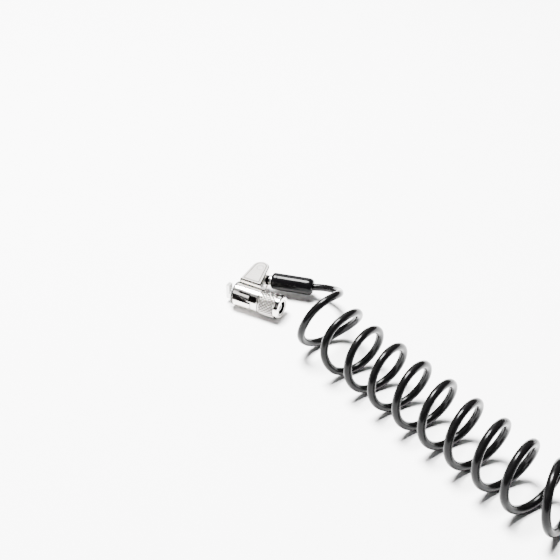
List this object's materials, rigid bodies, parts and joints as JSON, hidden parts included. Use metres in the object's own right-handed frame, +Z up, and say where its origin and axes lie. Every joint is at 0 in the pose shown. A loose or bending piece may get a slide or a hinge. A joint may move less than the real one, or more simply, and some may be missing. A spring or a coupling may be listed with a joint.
{
  "type": "laptop cable lock",
  "caption": "Keyed security lock for a portable computer's slot: knurled barrel, T-bar, pivoting cable anchor and a self-coiling cable that ends in an eye.",
  "frame": {"origin": "middle of the lock's own footprint, without the cord, on the surface it lies on", "axes": "+X along the barrel from the T-bar to the key face, +Y the way the cable anchor's tongue points, +Z up"},
  "size_m": [0.196, 0.1415, 0.0272],
  "materials": {
    "nickel": "satin nickel plate",
    "bright": "bright nickel plate",
    "steel": "machined",
    "brass": "stamped",
    "pad": "matt",
    "sleeve": "gloss",
    "cable": "gloss"
  },
  "bodies": {
    "housing": {"housing": "nickel", "lower_shell": "nickel", "tongue_cover": "nickel", "pivot_pin": "bright", "face_pad": "pad", "anti_turn_tab_front": "steel", "anti_turn_tab_rear": "steel", "spring_washer": "steel", "detent_ball": "steel"},
    "t_bar": {"t_bar_shaft": "steel", "t_bar_head": "steel", "retaining_clip": "steel"},
    "knob": {"knurled_knob": "nickel", "face_ring": "bright", "plunger": "steel"},
    "key_core": {"key_cylinder": "bright", "key_post": "steel", "drive_bar": "steel", "disc_1": "brass", "disc_2": "brass", "disc_3": "brass", "disc_4": "brass", "sidebar": "steel"},
    "anchor": {"swivel_eye": "bright", "eye_washer_lower": "steel", "eye_washer_upper": "steel", "cable_lead": "cable", "coil_open": "cable", "coil_bend": "cable", "coil_rest": "cable", "cable_tail": "cable", "end_sleeve": "sleeve", "cable_eye": "cable"},
    "ferrule": {"crimp_ferrule": "steel", "cable_sleeve": "sleeve"}
  },
  "joints": [
    {"name": "key_turn", "type": "hinge", "parent": "knob", "child": "key_core", "pos_m": [0.00348, -0.00777, 0.00515], "axis": [1, 0, 0], "range_deg": [-90, 0]},
    {"name": "t_bar_turn", "type": "hinge", "parent": "housing", "child": "t_bar", "pos_m": [-0.01152, -0.00777, 0.00515], "axis": [1, 0, 0], "range_deg": [-90, 0]},
    {"name": "knob_slide", "type": "slide", "parent": "housing", "child": "knob", "axis": [1, 0, 0], "range_m": [0, 0.0022]},
    {"name": "anchor_pivot", "type": "hinge", "parent": "housing", "child": "anchor", "pos_m": [-0.00712, 0.00463, 0.0056], "axis": [0, 0, 1], "range_deg": [-13, 76]},
    {"name": "ferrule_swivel", "type": "hinge", "parent": "anchor", "child": "ferrule", "pos_m": [-0.00712, 0.00463, 0.0056], "axis": [0.9728, 0.2317, 0], "continuous": true}
  ],
  "couplings": [
    {"joint": "t_bar_turn", "follows": "key_turn", "ratio": 1}
  ]
}
